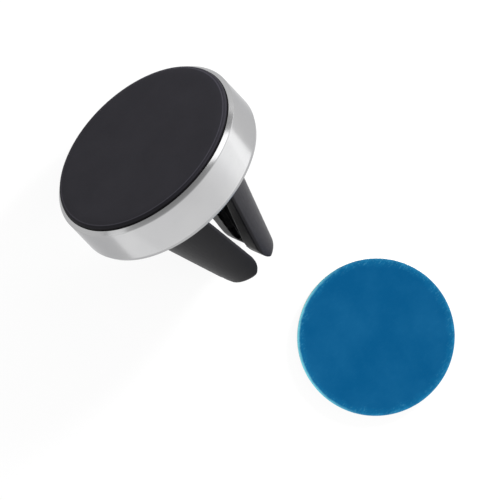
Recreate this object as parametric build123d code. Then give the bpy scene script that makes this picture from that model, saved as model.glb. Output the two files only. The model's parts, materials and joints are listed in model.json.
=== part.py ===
from build123d import *
import math
import os

# Car phone mount: a magnetic head with a four-prong vent clip, and its loose phone plate.
# Millimetres. The head and clip are drawn along their own axis, with Z = 0 at the trim ring's
# front face and +Z towards the prong tips, and are laid on the table at the end.

# Trim ring, as deep as what it holds
ring_diameter = 40.0
ring_wall = 0.8
ring_front_chamfer = 0.7
ring_rear_bevel_depth = 0.9
ring_rear_bevel_drop = 0.4
rib_thickness = 1.0  # along the axis
rib_height = 1.0  # inwards from the bore

# Face pad and its adhesive
pad_proud = 0.8
pad_recess = 0.8
pad_edge_radius = 0.6
adhesive_thickness = 0.2
adhesive_inset = 0.6

# Magnets, carrier and yoke
magnet_diameter = 10.0
magnet_thickness = 2.5
magnet_edge_distance = 1.75  # from the yoke's edge
magnet_count = 4
carrier_flange_thickness = 1.6
yoke_thickness = 0.8
yoke_rim = 1.4  # carrier wall left round the yoke
carrier_lip = 0.1  # carrier stands this far behind the yoke

# Carrier screws and their posts
screw_edge_distance = 2.75  # from the yoke's edge
screw_shank_radius = 1.0
screw_head_radius = 1.8
screw_head_height = 0.8
screw_length = 5.6
post_radius = 2.2
post_hole_spare = 0.3

# Rear cover
cover_wall = 0.9
cover_floor = 1.3  # at the rim
cover_recess = 0.3  # rim of the cover below the ring's rear edge
cover_rise = 0.5
cover_flat_radius = 8.0  # raised flat round the swivel hole

# Swivel
neck_radius = 3.2
neck_clearance = 0.08
swivel_head_radius = 2.9
swivel_head_height = 1.4
swivel_head_gap = 0.3
swivel_shank_radius = 1.5
swivel_thread_in_hub = 2.6  # past the hub disc's rear face
hex_key_size = 2.0
hex_key_depth = 0.9
flat_washer_thickness = 0.5
flat_washer_radius = 5.2
spring_washer_radius = 5.0
spring_washer_height = 0.7
spring_washer_thickness = 0.35
spring_washer_clearance = 0.02

# Vent clip, with heights measured from the ring's rear edge
clip_base_radius = 13.0
clip_taper_angle = 15.4
boot_gap = 0.3  # between the cover and the boot
boot_thickness = 1.2
boot_side_wall = 1.3
boot_edge_chamfer = 0.6
hub_thickness = 2.3
flex_gap = 0.3  # between the hub and the prong roots
prong_length = 22.2
hollow_root_share = 0.738  # central hollow, as a share of the clip's radius there
hollow_throat_share = 0.29
tip_height = 4.6  # from the throat to the tips
tip_flare = 2.6  # how far each slot wall curves back at the tips
tip_outer_round = 1.5
wide_slot_root = 6.8
wide_slot_throat = 1.6
wide_slot_spare = 0.7  # extra half width between the lower pair of prongs
narrow_slot_root = 2.2
narrow_slot_throat = 1.1
prong_edge_cut = 0.45
clip_turn = 13.5  # how far the clip is turned on its swivel

# Prong cores, each showing through a groove in the rubber
core_root_wall = 0.8  # rubber between the core and the central hollow
core_throat_wall = 1.1
core_depth = 1.2
core_root_width = 3.0
core_tip_width = 2.2
core_from_throat = 1.4
groove_width = 1.6
groove_past_throat = 0.8

# Phone plate set
plate_diameter = 30.0
plate_thickness = 0.5
film_thickness = 0.1
film_inset = 0.05
plate_adhesive_thickness = 0.2
liner_thickness = 0.12
plate_side_offset = 7.2  # to the side of the mount's axis
plate_distance = 58.8  # from the ring's front centre, along the table

# Radial play between the moulded parts and the ring's bore
seat_clearance = 0.05

# Head stack
ring_radius = ring_diameter / 2
bore_radius = ring_radius - ring_wall
seat_radius = bore_radius - seat_clearance
rib_radius = bore_radius - rib_height
carrier_front = pad_recess + adhesive_thickness
rib_front = carrier_front + carrier_flange_thickness
rib_rear = rib_front + rib_thickness
magnet_rear = carrier_front + magnet_thickness
yoke_rear = magnet_rear + yoke_thickness
carrier_rear = yoke_rear + carrier_lip
carrier_radius = rib_radius - seat_clearance
yoke_radius = carrier_radius - yoke_rim
magnet_circle_radius = yoke_radius - magnet_edge_distance - magnet_diameter / 2
screw_circle_radius = yoke_radius - screw_edge_distance
screw_angles = [(i + 0.5) * 360 / magnet_count for i in range(magnet_count)]

# Swivel stack
swivel_head_front = yoke_rear + swivel_head_gap
swivel_head_rear = swivel_head_front + swivel_head_height
neck_front = swivel_head_rear + flat_washer_thickness
cover_inner = neck_front + spring_washer_height
cover_rim = cover_inner + cover_floor
cover_top = cover_rim + cover_rise
ring_depth = cover_rim + cover_recess

# Clip heights
boot_front = cover_top + boot_gap
hub_front = boot_front + boot_thickness
hub_rear = hub_front + hub_thickness
prong_root = hub_rear + flex_gap
prong_tip = prong_root + prong_length
prong_throat = prong_tip - tip_height


def clip_radius(height):
    """Outer radius of the tapered clip at a height along the axis."""
    return clip_base_radius - (height - ring_depth) * math.tan(math.radians(clip_taper_angle))


hub_radius = clip_radius(hub_rear) - boot_side_wall
hollow_root_radius = hollow_root_share * clip_radius(prong_root)
hollow_throat_radius = hollow_throat_share * clip_radius(prong_throat)


def outline(points, rounds=(), cut=fillet):
    """Closed face through the points, with some corners rounded or cut: (point number, size)."""
    face = make_face(Polyline(*points, close=True))
    for number, size in rounds:
        corner = face.vertices().sort_by_distance(points[number])[0]
        face = cut(corner, size)
    return face


def turned(points, rounds=(), cut=fillet):
    """Solid turned about the axis from (radius, height) points."""
    return revolve(Plane.XZ * outline(points, rounds, cut), Axis.Z)


def disc(radius, front, rear):
    """Plain disc between two heights."""
    return Pos(0, 0, front) * extrude(Circle(radius), rear - front)


def around(radius, angles):
    """Places on a circle about the axis."""
    return [Rot(0, 0, angle) * Pos(radius, 0, 0) for angle in angles]


def make_trim_ring():
    """Turned metal band with an inner rib that the carrier and the cover clamp."""
    return turned([
        (bore_radius, 0),
        (ring_radius - ring_front_chamfer, 0),
        (ring_radius, ring_front_chamfer),
        (ring_radius, ring_depth - ring_rear_bevel_depth),
        (ring_radius - ring_rear_bevel_drop, ring_depth),
        (bore_radius, ring_depth),
        (bore_radius, rib_rear),
        (rib_radius, rib_rear),
        (rib_radius, rib_front),
        (bore_radius, rib_front),
    ])


def make_face_pad():
    """Rubber disc with a rounded front edge."""
    return turned([
        (0, -pad_proud),
        (seat_radius, -pad_proud),
        (seat_radius, pad_recess),
        (0, pad_recess),
    ], [(1, pad_edge_radius)])


def carrier_screw():
    """Countersunk screw with its head flush with the carrier's front."""
    return turned([
        (0, carrier_front),
        (screw_head_radius, carrier_front),
        (screw_shank_radius, carrier_front + screw_head_height),
        (screw_shank_radius, carrier_front + screw_length),
        (0, carrier_front + screw_length),
    ])


def make_carrier_screws():
    """The screws that close the head, as separate solids."""
    return Compound(children=[place * carrier_screw() for place in around(screw_circle_radius, screw_angles)])


def make_magnet(number):
    """One disc magnet in its pocket."""
    place = Rot(0, 0, number * 360 / magnet_count) * Pos(magnet_circle_radius, 0, 0)
    return place * disc(magnet_diameter / 2, carrier_front, magnet_rear)


def make_magnet_carrier():
    """Flanged plate with through pockets, a recess for the yoke and countersunk screw holes."""
    body = turned([
        (0, carrier_front),
        (seat_radius, carrier_front),
        (seat_radius, rib_front),
        (carrier_radius, rib_front),
        (carrier_radius, carrier_rear),
        (yoke_radius, carrier_rear),
        (yoke_radius, magnet_rear),
        (0, magnet_rear),
    ])
    for number in range(magnet_count):
        body -= make_magnet(number)
    for place in around(screw_circle_radius, screw_angles):
        body -= place * carrier_screw()
    return body


def make_yoke_plate():
    """Steel disc behind the magnets, drilled for the screws."""
    plate = disc(yoke_radius, magnet_rear, yoke_rear)
    for place in around(screw_circle_radius, screw_angles):
        plate -= place * disc(screw_shank_radius + seat_clearance, magnet_rear, yoke_rear)
    return plate


def make_rear_cover():
    """Moulded cup with a raised middle, a post for each screw and the swivel hole."""
    hole_radius = neck_radius + neck_clearance
    wall_inner = seat_radius - cover_wall
    cup = turned([
        (hole_radius, cover_inner),
        (wall_inner, cover_inner),
        (wall_inner, rib_rear),
        (seat_radius, rib_rear),
        (seat_radius, cover_rim),
        (cover_flat_radius, cover_top),
        (hole_radius, cover_top),
    ])
    for place in around(screw_circle_radius, screw_angles):
        cup += place * disc(post_radius, yoke_rear, cover_inner)
    for place in around(screw_circle_radius, screw_angles):
        screw_end = carrier_front + screw_length + post_hole_spare
        cup -= place * disc(screw_shank_radius, yoke_rear, screw_end)
    return cup


def make_spring_washer():
    """Dished washer that gives the swivel its friction."""
    inner = neck_radius + 2 * neck_clearance
    low = neck_front + spring_washer_clearance
    high = cover_inner
    return turned([
        (inner, low),
        (spring_washer_radius, high - spring_washer_thickness),
        (spring_washer_radius, high),
        (inner, low + spring_washer_thickness),
    ])


def make_flat_washer():
    """Washer between the screw head and the neck."""
    washer = disc(flat_washer_radius, swivel_head_rear, neck_front)
    return washer - disc(swivel_shank_radius + seat_clearance, swivel_head_rear, neck_front)


def make_swivel_screw():
    """Cap screw that holds the clip's neck in the cover."""
    head = disc(swivel_head_radius, swivel_head_front, swivel_head_rear)
    head += disc(swivel_shank_radius, swivel_head_rear, hub_front + swivel_thread_in_hub / 2)
    socket = extrude(RegularPolygon(hex_key_size / 2, 6, major_radius=False), hex_key_depth)
    return head - Pos(0, 0, swivel_head_front) * socket


def make_clip_hub():
    """Hard disc with a neck, bored for the swivel screw."""
    hub = turned([
        (0, neck_front),
        (neck_radius, neck_front),
        (neck_radius, hub_front),
        (hub_radius, hub_front),
        (hub_radius, hub_rear),
        (0, hub_rear),
    ])
    return hub - disc(swivel_shank_radius, neck_front, hub_front + swivel_thread_in_hub / 2)


def make_hub_boot():
    """Rubber skirt round the hub, on the same taper as the prongs."""
    return turned([
        (neck_radius, boot_front),
        (clip_radius(boot_front), boot_front),
        (clip_radius(hub_rear), hub_rear),
        (hub_radius, hub_rear),
        (hub_radius, hub_front),
        (neck_radius, hub_front),
    ], [(1, boot_edge_chamfer)], cut=chamfer)


def slot_cutter(plane, root_width, throat_width):
    """Slot across the whole clip, tapered up to the throat and even from there on."""
    slope = (root_width - throat_width) / (prong_throat - prong_root)
    low, high = prong_root - flex_gap, prong_tip + flex_gap
    wide, narrow = root_width / 2 + slope * flex_gap / 2, throat_width / 2
    profile = outline([
        (-wide, low),
        (wide, low),
        (narrow, prong_throat),
        (narrow, high),
        (-narrow, high),
        (-narrow, prong_throat),
    ])
    return extrude(plane * profile, 2 * clip_base_radius, both=True)


def flare_cutter(plane, throat_width):
    """Mouth of a slot, opening in a quarter ellipse on each side from the throat to the tips."""
    narrow = throat_width / 2
    mouth = narrow + tip_flare
    top = prong_tip + flex_gap
    path = Line((narrow, prong_throat), (-narrow, prong_throat))
    path += EllipticalCenterArc((-mouth, prong_throat), tip_flare, tip_height, 0, arc_size=90)
    path += Polyline((-mouth, prong_tip), (-mouth, top), (mouth, top), (mouth, prong_tip))
    path += EllipticalCenterArc((mouth, prong_throat), tip_flare, tip_height, 90, arc_size=90)
    return extrude(plane * make_face(path), 2 * clip_base_radius, both=True)


def core_line(offset):
    """The core's inner face at its root and throat, moved outwards by the offset: (radius, height)."""
    root = (hollow_root_radius + core_root_wall + offset, prong_root)
    throat = (hollow_throat_radius + core_throat_wall + offset, prong_throat)
    return root, throat


def make_finger():
    """Thin hard blade in the middle of the first prong, tapered in width."""
    (root_in, low), (throat_in, high) = core_line(0)
    (root_out, _), (throat_out, _) = core_line(core_depth)
    blade = outline([(root_in, low), (throat_in, high), (throat_out, high), (root_out, low)])
    tip = prong_throat - core_from_throat
    taper = outline([
        (-core_root_width / 2, prong_root),
        (core_root_width / 2, prong_root),
        (core_tip_width / 2, tip),
        (-core_tip_width / 2, tip),
    ])
    blade = extrude(Plane.XZ * blade, core_root_width, both=True)
    return Rot(0, 0, 45) * (blade & extrude(Plane.YZ * taper, clip_base_radius))


def make_groove():
    """Round-ended groove from the central hollow to the first prong's core."""
    (root_in, low), (throat_in, high) = core_line(0)
    slope = (throat_in - root_in) / (high - low)
    end = high + groove_past_throat
    inner = outline([(0, low), (root_in, low), (throat_in + slope * groove_past_throat, end), (0, end)])
    slit = outline([
        (-groove_width / 2, low),
        (groove_width / 2, low),
        (groove_width / 2, end),
        (-groove_width / 2, end),
    ], [(2, groove_width * 0.45), (3, groove_width * 0.45)])
    inner = extrude(Plane.XZ * inner, groove_width, both=True)
    return Rot(0, 0, 45) * (inner & extrude(Plane.YZ * slit, clip_base_radius))


def make_sleeve(slot_spare):
    """Rubber of the first prong: a quarter of a hollow tapered post, flared back at the tip."""
    widths = [
        (Plane.XZ, wide_slot_root + 2 * slot_spare, wide_slot_throat + 2 * slot_spare),
        (Plane.YZ, narrow_slot_root, narrow_slot_throat),
    ]
    tip_radius = clip_radius(prong_tip)
    base = (clip_radius(prong_root), prong_root)
    post = turned([
        (hollow_root_radius, prong_root),
        (hollow_throat_radius, prong_throat),
        (hollow_throat_radius, prong_tip),
        (tip_radius, prong_tip),
        base,
    ])
    for plane, root_width, throat_width in widths:
        post -= slot_cutter(plane, root_width, throat_width)
    reach = 2 * clip_base_radius
    quarter = post.solids().sort_by_distance((reach, reach, prong_root))[0]
    outside = quarter.faces().filter_by(GeomType.CONE).sort_by(SortBy.AREA)[-1]
    long_edges = [edge for edge in outside.edges() if edge.length > 0.6 * prong_length]
    quarter = quarter.chamfer(prong_edge_cut, None, long_edges)
    quarter &= turned([(0, prong_root), (0, prong_tip), (tip_radius, prong_tip), base], [(2, tip_outer_round)])
    for plane, _, throat_width in widths:
        quarter -= flare_cutter(plane, throat_width)
    return quarter - make_groove() - make_finger()


def make_prongs():
    """The four prongs, turned with the clip: an upper pair, and a lower pair set a little wider."""
    finger = make_finger()
    upper, lower = make_sleeve(0), make_sleeve(wide_slot_spare)
    turn, half_turn = Rot(0, 0, -clip_turn), Rot(0, 0, 180)
    pieces = {}
    for name, first, third in (("finger", finger, finger), ("sleeve", upper, lower)):
        pieces[f"{name}_1"] = turn * first
        pieces[f"{name}_2"] = turn * mirror(first, about=Plane.YZ)
        pieces[f"{name}_3"] = turn * half_turn * third
        pieces[f"{name}_4"] = turn * mirror(third, about=Plane.XZ)
    return pieces


def make_plate_set():
    """Steel plate with film on its face, and adhesive and liner on its back, flat on the table."""
    radius = plate_diameter / 2
    layers = [
        ("plate_liner", radius, liner_thickness),
        ("plate_adhesive", radius - film_inset, plate_adhesive_thickness),
        ("phone_plate", radius, plate_thickness),
        ("plate_film", radius - film_inset, film_thickness),
    ]
    pieces, height = {}, 0
    for name, layer_radius, thickness in layers:
        pieces[name] = disc(layer_radius, height, height + thickness)
        height += thickness
    return pieces


def make_mount():
    """Every piece of the head and clip, along their own axis."""
    pieces = {
        "trim_ring": make_trim_ring(),
        "face_pad": make_face_pad(),
        "pad_adhesive": disc(seat_radius - adhesive_inset, pad_recess, carrier_front),
        "magnet_carrier": make_magnet_carrier(),
        "yoke_plate": make_yoke_plate(),
        "carrier_screws": make_carrier_screws(),
        "rear_cover": make_rear_cover(),
        "spring_washer": make_spring_washer(),
        "flat_washer": make_flat_washer(),
        "swivel_screw": make_swivel_screw(),
        "clip_hub": make_clip_hub(),
        "hub_boot": make_hub_boot(),
    }
    for number in range(magnet_count):
        pieces[f"magnet_{number + 1}"] = make_magnet(number)
    pieces.update(make_prongs())
    return pieces


def lying(tilt):
    """Placement on the table: the axis runs along +Y and dips by the tilt."""
    angle = math.radians(tilt)
    return Location(Plane(origin=(0, 0, 0), x_dir=(-1, 0, 0), z_dir=(0, math.cos(angle), -math.sin(angle))))


def table_contact(mount):
    """Tilt at which the ring and the prong tips both touch the table, and how far below they reach."""
    fine = 0.01
    rim = [tuple(v) for v in mount["trim_ring"].tessellate(fine)[0]]
    tips = [tuple(v) for number in range(1, 5) for v in mount[f"sleeve_{number}"].tessellate(fine)[0]]

    def lowest(points, tilt):
        angle = math.radians(tilt)
        return min(y * math.cos(angle) - z * math.sin(angle) for x, y, z in points)

    low, high = 0.0, 80.0
    while high - low > 1e-4:
        middle = (low + high) / 2
        if lowest(tips, middle) > lowest(rim, middle):
            low = middle
        else:
            high = middle
    return low, min(lowest(tips, low), lowest(rim, low))


def make_parts():
    """Every node, laid out on the table with the origin under the middle of the set."""
    mount = make_mount()
    tilt, depth = table_contact(mount)
    place = Pos(0, 0, -depth) * lying(tilt)
    pieces = {name: place * shape for name, shape in mount.items()}
    plate_place = Pos(-plate_side_offset, plate_distance, 0)
    pieces.update({name: plate_place * shape for name, shape in make_plate_set().items()})
    box = Compound(children=[Compound(shape.wrapped) for shape in pieces.values()]).bounding_box()
    centre = Pos(-(box.min.X + box.max.X) / 2, -(box.min.Y + box.max.Y) / 2, 0)
    return {name: centre * shape for name, shape in pieces.items()}, centre * place


parts, mount_place = make_parts()

os.makedirs("parts", exist_ok=True)
for name, shape in parts.items():
    export_step(shape, f"parts/{name}.step")
print(f"{len(parts)} parts, mount tilt frame {mount_place}")
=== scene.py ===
import bpy
import bmesh
import json
import math
from mathutils import Matrix, Vector


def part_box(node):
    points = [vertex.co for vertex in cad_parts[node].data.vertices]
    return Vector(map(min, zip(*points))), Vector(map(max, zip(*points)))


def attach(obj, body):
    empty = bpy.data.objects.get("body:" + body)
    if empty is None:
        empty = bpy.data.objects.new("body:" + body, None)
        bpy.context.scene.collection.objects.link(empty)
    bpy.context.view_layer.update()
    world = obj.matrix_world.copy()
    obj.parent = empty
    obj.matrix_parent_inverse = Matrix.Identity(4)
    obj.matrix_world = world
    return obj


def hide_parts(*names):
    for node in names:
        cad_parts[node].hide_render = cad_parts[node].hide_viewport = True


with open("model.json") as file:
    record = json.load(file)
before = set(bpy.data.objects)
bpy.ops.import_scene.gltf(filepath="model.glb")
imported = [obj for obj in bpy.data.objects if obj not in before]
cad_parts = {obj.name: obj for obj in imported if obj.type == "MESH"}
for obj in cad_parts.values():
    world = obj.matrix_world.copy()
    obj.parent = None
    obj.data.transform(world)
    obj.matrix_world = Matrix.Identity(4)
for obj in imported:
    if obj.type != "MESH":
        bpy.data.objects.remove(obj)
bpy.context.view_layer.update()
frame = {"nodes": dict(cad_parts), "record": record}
print("frame loaded:", len(frame["nodes"]), "nodes")

mm = 0.001
perMetre = 1000  # the finishes count in millimetres

# the mount lies tilted, so its own axes are read from the pad face's mount
padFace = next(mount for mount in frame["record"]["mounts"] if mount["name"] == "magnet_face")
padProud = 0.8 * mm
towardTips = -Vector(padFace["axis"]).normalized()
ringFront = Vector(padFace["pos_m"]) + towardTips * padProud
upAcross = (Vector((0, 0, 1)) - towardTips * towardTips.z).normalized()
sideways = upAcross.cross(towardTips)
mountTurn = Matrix((sideways, upAcross, towardTips)).transposed()
mountPlace = Matrix.Translation(ringFront) @ mountTurn.to_4x4()

plateLow, plateHigh = (Vector(corner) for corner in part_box("phone_plate"))
plateMiddle = Vector(((plateLow.x + plateHigh.x) / 2, (plateLow.y + plateHigh.y) / 2, 0))


def newMaterial(name):
    material = bpy.data.materials.new(name)
    material.use_nodes = True
    nodes, links = material.node_tree.nodes, material.node_tree.links
    return material, nodes, links, nodes["Principled BSDF"]


def setSockets(shader, **values):
    # an underscore stands for the space in a socket's name
    for socket, value in values.items():
        shader.inputs[socket.replace("_", " ")].default_value = value


def wire(links, shader, **sources):
    for socket, source in sources.items():
        links.new(source, shader.inputs[socket.replace("_", " ")])


def addNode(nodes, kind, **settings):
    node = nodes.new("ShaderNode" + kind)
    for name, value in settings.items():
        if name in node.inputs:
            node.inputs[name].default_value = value
        else:
            setattr(node, name, value)
    return node


def fillSockets(links, sockets, values):
    # each value is a number, a colour or another node's socket
    for socket, value in zip(sockets, values):
        if isinstance(value, (int, float)):
            socket.default_value = value
        elif isinstance(value, tuple):
            socket.default_value = (*value, 1)
        else:
            links.new(value, socket)


def placedCoords(nodes, links, middle, turn=None):
    # object coordinates from a middle point, in millimetres, turned where a turn is given
    coord = addNode(nodes, "TexCoord")
    mapping = addNode(nodes, "Mapping", vector_type="POINT", Scale=(perMetre, perMetre, perMetre))
    if turn:
        mapping.inputs["Rotation"].default_value = turn.to_euler("XYZ")
        middle = turn @ middle
    mapping.inputs["Location"].default_value = middle * -perMetre
    links.new(coord.outputs["Object"], mapping.inputs["Vector"])
    return mapping.outputs["Vector"]


def mountCoords(nodes, links):
    return placedCoords(nodes, links, ringFront, mountTurn.transposed())


def plateCoords(nodes, links):
    return placedCoords(nodes, links, plateMiddle)


def stretched(nodes, links, vector, factors):
    node = addNode(nodes, "VectorMath", operation="MULTIPLY")
    node.inputs[1].default_value = factors
    links.new(vector, node.inputs[0])
    return node.outputs[0]


def along(nodes, links, vector, direction):
    # how far a point lies in one direction
    node = addNode(nodes, "VectorMath", operation="DOT_PRODUCT")
    node.inputs[1].default_value = direction
    links.new(vector, node.inputs[0])
    return node.outputs["Value"]


def radiusOf(nodes, links, vector):
    node = addNode(nodes, "VectorMath", operation="LENGTH")
    links.new(stretched(nodes, links, vector, (1, 1, 0)), node.inputs[0])
    return node.outputs["Value"]


def noise(nodes, links, vector, scale, detail=3.0, roughness=0.5):
    node = addNode(nodes, "TexNoise", Scale=scale, Detail=detail, Roughness=roughness)
    links.new(vector, node.inputs["Vector"])
    return node.outputs["Fac"]


def reckon(nodes, links, operation, first, second):
    node = addNode(nodes, "Math", operation=operation)
    fillSockets(links, node.inputs, (first, second))
    return node.outputs[0]


def share(nodes, links, value, start, end):
    # 0 at the start and 1 at the end
    past = reckon(nodes, links, "SUBTRACT", value, start)
    return reckon(nodes, links, "DIVIDE", past, end - start)


def ramp(nodes, links, fac, stops):
    # colour ramp from (position, colour or grey) pairs
    node = addNode(nodes, "ValToRGB")
    elements = node.color_ramp.elements
    while len(elements) < len(stops):
        elements.new(0.5)
    for element, (position, value) in zip(elements, stops):
        element.position = position
        colour = value if isinstance(value, tuple) else (value, value, value)
        element.color = (*colour, 1)
    links.new(fac, node.inputs["Fac"])
    return node.outputs["Color"]


def blend(nodes, links, fac, first, second, kind="MIX"):
    node = addNode(nodes, "Mix", data_type="RGBA", blend_type=kind)
    fillSockets(links, (node.inputs["Factor"], node.inputs["A"], node.inputs["B"]), (fac, first, second))
    return node.outputs["Result"]


def bump(nodes, links, height, strength, distance):
    node = addNode(nodes, "Bump", Strength=strength, Distance=distance)
    links.new(height, node.inputs["Height"])
    return node.outputs["Normal"]


ringFinish = {"base": (0.43, 0.43, 0.433), "worn": (0.41, 0.411, 0.416), "grazing": (0.78, 0.78, 0.79),
              "smooth": 0.15, "rough": 0.22, "lines": 0.08, "lineHeight": 0.01 * mm,
              "linesAlong": (0.05, 0.05, 9), "linesOutwards": 9, "patchScale": 0.16}


def makeRingMetal():
    # satin turned aluminium, the lines run round the axis
    material, nodes, links, shader = newMaterial("ringMetal")
    coords = mountCoords(nodes, links)
    outwards = addNode(nodes, "CombineXYZ")
    spread = reckon(nodes, links, "MULTIPLY", radiusOf(nodes, links, coords), ringFinish["linesOutwards"])
    links.new(spread, outwards.inputs["Z"])
    join = addNode(nodes, "VectorMath", operation="ADD")
    links.new(stretched(nodes, links, coords, ringFinish["linesAlong"]), join.inputs[0])
    links.new(outwards.outputs[0], join.inputs[1])
    lines = noise(nodes, links, join.outputs[0], 1.0, 4, 0.65)
    patches = noise(nodes, links, coords, ringFinish["patchScale"])
    wire(links, shader,
         Roughness=ramp(nodes, links, lines, [(0.3, ringFinish["smooth"]), (0.7, ringFinish["rough"])]),
         Base_Color=ramp(nodes, links, patches, [(0.35, ringFinish["base"]), (0.7, ringFinish["worn"])]),
         Normal=bump(nodes, links, lines, ringFinish["lines"], ringFinish["lineHeight"]))
    setSockets(shader, Metallic=1.0, Specular_Tint=(*ringFinish["grazing"], 1))
    return material


# edge sets a painted highlight; side and foot set painted shade round the pad's rim
padFinish = {"dark": (0.0145, 0.0138, 0.0178), "light": (0.0176, 0.0168, 0.0212),
             "speck": (0.04, 0.04, 0.045), "speckShare": 0.25, "speckScale": 2.2, "cloudScale": 0.12,
             "grainScale": 5.0, "grain": 0.45, "grainHeight": 0.03 * mm, "smooth": 0.62, "rough": 0.78,
             "gloss": 0.10, "edge": 2.2, "side": 0.72, "foot": 0.15, "shadeFrom": 18.2, "shadeTo": 19.2}


def makePadRubber():
    # soft matt rubber with a fine pebble and a few paler specks
    material, nodes, links, shader = newMaterial("padRubber")
    coords = mountCoords(nodes, links)
    cloud = noise(nodes, links, coords, padFinish["cloudScale"], 4, 0.6)
    grain = noise(nodes, links, coords, padFinish["grainScale"], 5, 0.7)
    spots = noise(nodes, links, coords, padFinish["speckScale"], 2)
    specks = ramp(nodes, links, spots, [(0.70, 0.0), (0.78, 1.0)])
    base = ramp(nodes, links, cloud, [(0.3, padFinish["dark"]), (0.7, padFinish["light"])])
    # painted highlight along the face's edge, painted shade down the side and deeper painted shade at its
    # foot
    reach = share(nodes, links, radiusOf(nodes, links, coords), padFinish["shadeFrom"], padFinish["shadeTo"])
    paintedHighlightAndShade = ramp(nodes, links, reach, [(0.12, 1.0), (0.24, padFinish["edge"]), (0.34, padFinish["edge"]),
                                       (0.46, padFinish["side"]), (0.84, padFinish["side"]),
                                       (0.90, padFinish["foot"])])
    base = blend(nodes, links, 1.0, base, paintedHighlightAndShade, "MULTIPLY")
    specked = reckon(nodes, links, "MULTIPLY", specks, padFinish["speckShare"])
    wire(links, shader,
         Base_Color=blend(nodes, links, specked, base, padFinish["speck"]),
         Roughness=ramp(nodes, links, grain, [(0.3, padFinish["smooth"]), (0.75, padFinish["rough"])]),
         Normal=bump(nodes, links, grain, padFinish["grain"], padFinish["grainHeight"]))
    setSockets(shader, Specular_IOR_Level=padFinish["gloss"])
    return material


clipFinish = {"dark": (0.0044, 0.0042, 0.0058), "light": (0.0066, 0.0063, 0.0082),
              "drawn": (0.010, 0.010, 0.0115), "drawnShare": 0.3, "drawnScale": (3.2, 3.2, 0.25),
              "cloudScale": 0.25, "grainScale": 7.0, "smooth": 0.36, "rough": 0.46,
              "grain": 0.3, "grainHeight": 0.015 * mm, "gloss": 0.12}


def makeClipRubber():
    # firmer rubber, smoother than the pad, faintly drawn along the prongs
    material, nodes, links, shader = newMaterial("clipRubber")
    coords = mountCoords(nodes, links)
    cloud = noise(nodes, links, coords, clipFinish["cloudScale"])
    drawn = noise(nodes, links, stretched(nodes, links, coords, clipFinish["drawnScale"]), 1.0)
    grain = noise(nodes, links, coords, clipFinish["grainScale"], 4, 0.65)
    base = ramp(nodes, links, cloud, [(0.3, clipFinish["dark"]), (0.7, clipFinish["light"])])
    streaks = reckon(nodes, links, "MULTIPLY", drawn, clipFinish["drawnShare"])
    wire(links, shader,
         Base_Color=blend(nodes, links, streaks, base, clipFinish["drawn"]),
         Roughness=ramp(nodes, links, drawn, [(0.3, clipFinish["smooth"]), (0.75, clipFinish["rough"])]),
         Normal=bump(nodes, links, grain, clipFinish["grain"], clipFinish["grainHeight"]))
    setSockets(shader, Specular_IOR_Level=clipFinish["gloss"])
    return material


mouldedFinish = {"base": (0.018, 0.018, 0.020), "worn": (0.026, 0.026, 0.028), "smooth": 0.38, "rough": 0.52,
                 "grainScale": 3.5, "grain": 0.5, "grainHeight": 0.03 * mm, "gloss": 0.35}


def makeMouldedPlastic():
    # hard plastic with a spark-eroded grain
    material, nodes, links, shader = newMaterial("mouldedPlastic")
    grain = noise(nodes, links, mountCoords(nodes, links), mouldedFinish["grainScale"], 5, 0.7)
    wire(links, shader,
         Base_Color=ramp(nodes, links, grain, [(0.35, mouldedFinish["base"]), (0.7, mouldedFinish["worn"])]),
         Roughness=ramp(nodes, links, grain, [(0.3, mouldedFinish["smooth"]), (0.7, mouldedFinish["rough"])]),
         Normal=bump(nodes, links, grain, mouldedFinish["grain"], mouldedFinish["grainHeight"]))
    setSockets(shader, Specular_IOR_Level=mouldedFinish["gloss"])
    return material


steelFinish = {"lineScale": (0.8, 9, 9), "lines": 0.1, "lineHeight": 0.01 * mm, "darker": 0.9,
               "rougher": 0.12}


def makeSteel(name, base, rough):
    # rolled sheet, drawn one way
    material, nodes, links, shader = newMaterial(name)
    coords = stretched(nodes, links, plateCoords(nodes, links), steelFinish["lineScale"])
    lines = noise(nodes, links, coords, 1.0, 3, 0.6)
    darker = tuple(steelFinish["darker"] * channel for channel in base)
    wire(links, shader,
         Roughness=ramp(nodes, links, lines, [(0.3, rough), (0.7, rough + steelFinish["rougher"])]),
         Base_Color=ramp(nodes, links, lines, [(0.2, base), (0.8, darker)]),
         Normal=bump(nodes, links, lines, steelFinish["lines"], steelFinish["lineHeight"]))
    setSockets(shader, Metallic=1.0)
    return material


fibreFinish = {"fibres": 0.3, "fibreHeight": 0.02 * mm, "rough": 0.52}


def makeFibrous(name, low, high, scale):
    # soft adhesive or waxed paper
    material, nodes, links, shader = newMaterial(name)
    fibres = noise(nodes, links, plateCoords(nodes, links), scale, 5, 0.65)
    wire(links, shader,
         Base_Color=ramp(nodes, links, fibres, [(0.3, low), (0.7, high)]),
         Normal=bump(nodes, links, fibres, fibreFinish["fibres"], fibreFinish["fibreHeight"]))
    setSockets(shader, Roughness=fibreFinish["rough"])
    return material


# rim is the colour of a painted highlight along one side of the film's rim
filmFinish = {"middle": (0.0033, 0.116, 0.296), "pale": (0.0085, 0.142, 0.335), "edge": (0.010, 0.215, 0.45),
              "scuff": (0.08, 0.36, 0.56), "rim": (0.22, 0.72, 0.84), "edgeFrom": 13.4, "edgeTo": 15.1,
              "rimFrom": 14.45, "rimTo": 14.85, "rimSide": (0.80, -0.60, 0), "reach": 15.0,
              "cloudScale": 0.10, "rippleScale": 0.55, "fleckScale": 1.6, "fleckStretch": (1.0, 2.6, 1.0),
              "wander": 2.6, "rimWander": 0.16, "scuffShare": 0.5, "smooth": 0.34, "rough": 0.46,
              "ripples": 0.25, "rippleHeight": 0.05 * mm, "metal": 0.95, "gloss": 0.2}


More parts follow.
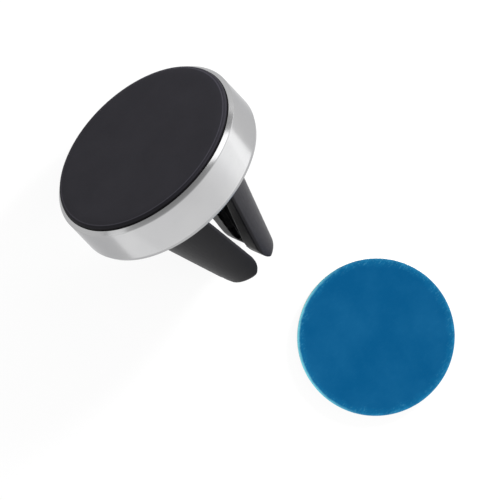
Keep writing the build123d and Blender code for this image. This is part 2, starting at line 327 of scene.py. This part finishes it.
def makeBlueFilm():
    # clear blue film over bright steel: paler towards its edge, lightly scuffed
    material, nodes, links, shader = newMaterial("blueFilm")
    coords = plateCoords(nodes, links)
    radius = radiusOf(nodes, links, coords)
    cloud = noise(nodes, links, coords, filmFinish["cloudScale"], 4, 0.6)
    ripple = noise(nodes, links, coords, filmFinish["rippleScale"], 3, 0.6)
    body = ramp(nodes, links, cloud, [(0.42, filmFinish["middle"]), (0.72, filmFinish["pale"])])
    swing = reckon(nodes, links, "SUBTRACT", ripple, 0.5)
    wander = reckon(nodes, links, "MULTIPLY", swing, filmFinish["wander"])
    uneven = reckon(nodes, links, "ADD", radius, wander)
    outer = share(nodes, links, uneven, filmFinish["edgeFrom"], filmFinish["edgeTo"])
    edging = ramp(nodes, links, outer, [(0.0, 0.0), (0.6, 0.35), (1.0, 1.0)])
    edged = blend(nodes, links, edging, body, filmFinish["edge"])
    # painted highlight where the film's rim catches the light along one side
    facing = along(nodes, links, coords, filmFinish["rimSide"])
    toSide = share(nodes, links, facing, 0, filmFinish["reach"])
    highlightSide = ramp(nodes, links, toSide, [(0.30, 0.06), (0.85, 1.0)])
    shine = reckon(nodes, links, "ADD", radius,
                   reckon(nodes, links, "MULTIPLY", wander, filmFinish["rimWander"]))
    across = share(nodes, links, shine, filmFinish["rimFrom"], filmFinish["rimTo"])
    bright = reckon(nodes, links, "MULTIPLY", highlightSide, ramp(nodes, links, across, [(0.0, 0.0), (1.0, 1.0)]))
    edged = blend(nodes, links, bright, edged, filmFinish["rim"])
    # scuffs, thicker towards the edge
    flecks = noise(nodes, links, stretched(nodes, links, coords, filmFinish["fleckStretch"]),
                   filmFinish["fleckScale"], 4, 0.7)
    near = ramp(nodes, links, outer, [(0.0, 0.05), (0.7, 1.0)])
    marks = reckon(nodes, links, "MULTIPLY", ramp(nodes, links, flecks, [(0.55, 0.0), (0.62, 1.0)]), near)
    scuffs = reckon(nodes, links, "MULTIPLY", marks, filmFinish["scuffShare"])
    wire(links, shader,
         Base_Color=blend(nodes, links, scuffs, edged, filmFinish["scuff"]),
         Roughness=ramp(nodes, links, ripple, [(0.3, filmFinish["smooth"]), (0.7, filmFinish["rough"])]),
         Normal=bump(nodes, links, ripple, filmFinish["ripples"], filmFinish["rippleHeight"]))
    setSockets(shader, Metallic=filmFinish["metal"], Specular_IOR_Level=filmFinish["gloss"])
    return material


finishes = {
    "ring_metal": makeRingMetal(),
    "pad_rubber": makePadRubber(),
    "clip_rubber": makeClipRubber(),
    "moulded_plastic": makeMouldedPlastic(),
    "magnet_nickel": makeSteel("magnetNickel", base=(0.66, 0.64, 0.60), rough=0.2),
    "plain_steel": makeSteel("plainSteel", base=(0.58, 0.58, 0.59), rough=0.3),
    "adhesive_film": makeFibrous("adhesiveFilm", low=(0.80, 0.78, 0.72), high=(0.88, 0.86, 0.80), scale=2.5),
    "blue_film": makeBlueFilm(),
    "liner_paper": makeFibrous("linerPaper", low=(0.76, 0.73, 0.64), high=(0.84, 0.81, 0.73), scale=4.0),
}
slotOf = {part["node"]: part["material_slot"] for part in frame["record"]["subparts"]}
bodyOf = {node: body for body, nodes in frame["record"]["behaviour"]["bodies"].items() for node in nodes}
for nodeName, slotName in slotOf.items():
    for slot in frame["nodes"][nodeName].material_slots:
        slot.material = finishes[slotName]
print("finishes made:", len(finishes))


def addPiece(name, shape, node, smoothUnder):
    # closes a bmesh into an object that stands for one CAD node
    mesh = bpy.data.meshes.new(name)
    shape.to_mesh(mesh)
    shape.free()
    for face in mesh.polygons:
        face.use_smooth = True
    mesh.set_sharp_from_angle(angle=math.radians(smoothUnder))
    mesh.materials.append(finishes[slotOf[node]])
    piece = bpy.data.objects.new(name, mesh)
    bpy.context.collection.objects.link(piece)
    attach(piece, bodyOf[node])
    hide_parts(node)


turnedSteps = {"fine": 256, "plain": 192}
mergeWithin = 0.0005 * mm


def turnedShape(profile, place, steps):
    # profile of (radius, height, corner round) in millimetres, spun about its axis
    shape = bmesh.new()
    points = [shape.verts.new((radius * mm, 0, height * mm)) for radius, height, _ in profile]
    for pair in zip(points, points[1:] + points[:1]):
        shape.edges.new(pair)
    for point, (_, _, rounding) in zip(points, profile):
        if rounding:
            bmesh.ops.bevel(shape, geom=[point], offset=rounding * mm, offset_type="OFFSET", segments=5,
                            profile=0.5, affect="VERTICES", material=-1)
    bmesh.ops.spin(shape, geom=shape.verts[:] + shape.edges[:], axis=(0, 0, 1), cent=(0, 0, 0),
                   angle=2 * math.pi, steps=steps, use_merge=True)
    bmesh.ops.remove_doubles(shape, verts=shape.verts[:], dist=mergeWithin)
    bmesh.ops.recalc_face_normals(shape, faces=shape.faces[:])
    bmesh.ops.transform(shape, matrix=place, verts=shape.verts[:])
    return shape


# heights in the mount run from the ring's front towards the prong tips
trimRingSize = {"radius": 20.0, "bore": 19.2, "depth": 8.8, "frontCut": 0.7, "rearCut": 0.9, "rearDrop": 0.4,
                "ribFront": 2.6, "ribRear": 3.6, "ribRadius": 18.2, "softness": 0.12, "lipSoftness": 0.04,
                "rearSoftness": 0.1, "boreSoftness": 0.05, "smoothUnder": 25}


def makeTrimRing():
    size = trimRingSize
    lip = size["radius"] - size["frontCut"]
    rearFrom = size["depth"] - size["rearCut"]
    profile = [(size["bore"], 0, 0), (lip, 0, size["lipSoftness"]),
               (size["radius"], size["frontCut"], size["softness"]),
               (size["radius"], rearFrom, size["softness"]),
               (size["radius"] - size["rearDrop"], size["depth"], size["rearSoftness"]),
               (size["bore"], size["depth"], size["boreSoftness"]),
               (size["bore"], size["ribRear"], 0), (size["ribRadius"], size["ribRear"], 0),
               (size["ribRadius"], size["ribFront"], 0), (size["bore"], size["ribFront"], 0)]
    shape = turnedShape(profile, mountPlace, turnedSteps["fine"])
    addPiece("trimRing", shape, "trim_ring", size["smoothUnder"])


facePadSize = {"radius": 19.15, "front": -0.8, "rear": 0.8, "edge": 0.58, "draft": 0.12, "foot": -0.12,
               "footCut": 0.28, "footCutRise": 0.1, "footSoftness": 0.06, "flatInside": 2.2,
               "smoothUnder": 50}


def makeFacePad():
    # the side leans in a little, and its foot is cut back where it meets the ring
    size = facePadSize
    cutRadius = size["radius"] - size["footCut"]
    profile = [(0, size["front"], 0), (size["radius"] - size["flatInside"], size["front"], 0),
               (size["radius"] - size["draft"], size["front"], size["edge"]),
               (size["radius"], size["foot"], size["footSoftness"]),
               (cutRadius, size["foot"] + size["footCutRise"], 0), (cutRadius, size["rear"], 0),
               (0, size["rear"], 0)]
    shape = turnedShape(profile, mountPlace, turnedSteps["fine"])
    addPiece("facePad", shape, "face_pad", size["smoothUnder"])


softRubber = {"mergeWithin": 0.001 * mm, "voxel": 0.16 * mm, "easing": 8, "easeShare": 0.5, "smoothUnder": 80}


def makeSoftRubber(name, node):
    # moulded rubber has no sharp edge, so a merged copy is remeshed finely and eased
    shape = bmesh.new()
    shape.from_mesh(frame["nodes"][node].data)
    bmesh.ops.remove_doubles(shape, verts=shape.verts[:], dist=softRubber["mergeWithin"])
    mesh = bpy.data.meshes.new(name + "Rough")
    shape.to_mesh(mesh)
    shape.free()
    rough = bpy.data.objects.new(name + "Rough", mesh)
    bpy.context.collection.objects.link(rough)
    remesh = rough.modifiers.new("remesh", "REMESH")
    remesh.mode, remesh.voxel_size = "VOXEL", softRubber["voxel"]
    ease = rough.modifiers.new("ease", "SMOOTH")
    ease.factor, ease.iterations = softRubber["easeShare"], softRubber["easing"]
    depsgraph = bpy.context.evaluated_depsgraph_get()
    eased = bmesh.new()
    eased.from_mesh(bpy.data.meshes.new_from_object(rough.evaluated_get(depsgraph)))
    bpy.data.objects.remove(rough)
    addPiece(name, eased, node, softRubber["smoothUnder"])


rootCollarSize = {"outer": 11.65, "inner": 9.2, "front": 12.6, "rear": 13.08, "softness": 0.08,
                  "smoothUnder": 50}


def makeRootCollar():
    # low rubber collar that the prongs grow out of, so no light passes under them
    size = rootCollarSize
    profile = [(size["inner"], size["front"], 0), (size["outer"], size["front"], 0),
               (size["outer"], size["rear"], size["softness"]),
               (size["inner"], size["rear"], size["softness"])]
    shape = turnedShape(profile, mountPlace, turnedSteps["plain"])
    addPiece("rootCollar", shape, "hub_boot", size["smoothUnder"])


makeTrimRing()
makeFacePad()
for number in range(1, 5):
    makeSoftRubber(f"prong{number}", f"sleeve_{number}")
makeSoftRubber("hubBoot", "hub_boot")
makeRootCollar()
print("head and clip pieces made")


plateSize = {"radius": 15.0, "edge": 0.1, "filmEdge": 0.06, "filmFlatInside": 0.35, "smoothUnder": 60}


def makePlateSet():
    size = plateSize
    place = Matrix.Translation(plateMiddle)
    low, high = plateLow.z / mm, plateHigh.z / mm
    plate = [(0, low, 0), (size["radius"], low, size["edge"]),
             (size["radius"], high, size["edge"]), (0, high, 0)]
    shape = turnedShape(plate, place, turnedSteps["fine"])
    addPiece("phonePlate", shape, "phone_plate", size["smoothUnder"])
    low, high = (corner[2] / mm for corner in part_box("plate_film"))
    film = [(0, low, 0), (size["radius"], low, 0), (size["radius"], high, size["filmEdge"]),
            (size["radius"] - size["filmFlatInside"], high, 0), (0, high, 0)]
    shape = turnedShape(film, place, turnedSteps["fine"])
    addPiece("plateFilm", shape, "plate_film", size["smoothUnder"])


makePlateSet()
print("plate pieces made")


floorSet = {"size": 3.0, "height": -0.02 * mm, "colour": (0.10, 0.10, 0.10, 1), "rough": 0.9, "glow": 0.89}


def makeFloor():
    bpy.ops.mesh.primitive_plane_add(size=floorSet["size"], location=(0, 0, floorSet["height"]))
    floor = bpy.context.object
    floor.name = "floor"
    material, _, _, shader = newMaterial("paleFloor")
    setSockets(shader, Base_Color=floorSet["colour"], Roughness=floorSet["rough"], Specular_IOR_Level=0.0,
               Emission_Color=(1, 1, 1, 1), Emission_Strength=floorSet["glow"])
    floor.data.materials.append(material)


# brightness by height, less in front, with a glow near the horizon behind the set
sky = {"low": 1.32, "high": 0.85, "lowUpTo": 0.45, "highFrom": 0.9, "front": 0.45, "frontFrom": -0.5,
       "frontTo": -0.1, "glowSide": (-0.782, 0.621, 0.05),
       "glow": [(0.80, 1.0), (0.90, 1.08), (0.96, 1.22), (0.99, 1.42)]}


def makeSky():
    world = bpy.data.worlds.new("studio")
    bpy.context.scene.world = world
    world.use_nodes = True
    nodes, links = world.node_tree.nodes, world.node_tree.links
    direction = addNode(nodes, "TexCoord").outputs["Generated"]
    split = addNode(nodes, "SeparateXYZ")
    links.new(direction, split.inputs[0])
    height = ramp(nodes, links, split.outputs["Z"],
                  [(sky["lowUpTo"], sky["low"]), (sky["highFrom"], sky["high"])])
    depth = share(nodes, links, split.outputs["Y"], sky["frontFrom"], sky["frontTo"])
    front = ramp(nodes, links, depth, [(0.0, sky["front"]), (1.0, 1.0)])
    glow = ramp(nodes, links, along(nodes, links, direction, sky["glowSide"]), sky["glow"])
    even = blend(nodes, links, 1.0, height, front, "MULTIPLY")
    lit = blend(nodes, links, 1.0, even, glow, "MULTIPLY")
    links.new(lit, nodes["Background"].inputs["Color"])
    nodes["Background"].inputs["Strength"].default_value = 1.0


# nearly orthographic, looking at the ring's front from above
cameraSet = {"lens": 1200, "sensor": 36, "fieldWidth": 94 * mm, "fromFace": 54.9, "clipEnd": 20,
             "axisRight": 0.690, "axisDown": 0.724, "aimRight": 19.9 * mm, "aimDown": 19.0 * mm}


def setCamera():
    fromFace = math.radians(cameraSet["fromFace"])
    toCamera = upAcross * math.sin(fromFace) - towardTips * math.cos(fromFace)
    alongAxis = upAcross * math.cos(fromFace) + towardTips * math.sin(fromFace)
    right = sideways * cameraSet["axisDown"] + alongAxis * cameraSet["axisRight"]
    up = sideways * cameraSet["axisRight"] - alongAxis * cameraSet["axisDown"]
    cameraData = bpy.data.cameras.new("camera")
    cameraData.lens, cameraData.sensor_width = cameraSet["lens"], cameraSet["sensor"]
    cameraData.clip_end = cameraSet["clipEnd"]
    camera = bpy.data.objects.new("camera", cameraData)
    bpy.context.collection.objects.link(camera)
    distance = cameraSet["lens"] / cameraSet["sensor"] * cameraSet["fieldWidth"]
    target = ringFront + right * cameraSet["aimRight"] - up * cameraSet["aimDown"]
    turn = Matrix((right, up, toCamera)).transposed()
    camera.matrix_world = Matrix.Translation(target + toCamera * distance) @ turn.to_4x4()
    bpy.context.scene.camera = camera


# the side panel gives diffuse light only, since the ring would mirror it as a streak
panels = {
    "lowLeft": {"middle": (-0.6225, 0.6095, 0.002), "size": (1.155, 1.155), "power": 3.9,
                "towards": (0, 0, 1)},
    "lowRight": {"middle": (0.6395, 0.5815, 0.002), "size": (1.155, 1.155), "power": 1.9,
                 "towards": (0, 0, 1)},
    "sidePanel": {"middle": (-0.60, -0.04, 0.14), "size": (0.16, 0.12), "power": 14.0,
                  "towards": (0.98, 0, -0.18), "mirrored": False},
    "highPanel": {"middle": (-0.21, -0.174, 0.189), "size": (0.16, 0.15), "power": 0.15,
                  "towards": (0.70, 0.47, -0.53)},
    "fillPanel": {"middle": (0.25, -0.17, 0.09), "size": (0.14, 0.09), "power": 0.03,
                  "towards": (-0.8, 0.44, -0.2)},
}


def addPanel(name, settings):
    # softbox that the camera doesn't see
    light = bpy.data.lights.new(name, "AREA")
    light.shape = "RECTANGLE"
    light.size, light.size_y = settings["size"]
    light.energy = settings["power"]
    panel = bpy.data.objects.new(name, light)
    bpy.context.collection.objects.link(panel)
    panel.location = settings["middle"]
    panel.visible_camera = False
    panel.visible_glossy = settings.get("mirrored", True)
    panel.rotation_euler = Vector(settings["towards"]).to_track_quat("-Z", "Y").to_euler()


makeFloor()
makeSky()
bpy.context.scene.view_settings.view_transform = "Standard"
setCamera()
for panelName, settings in panels.items():
    addPanel(panelName, settings)
print("room, lights and camera set")
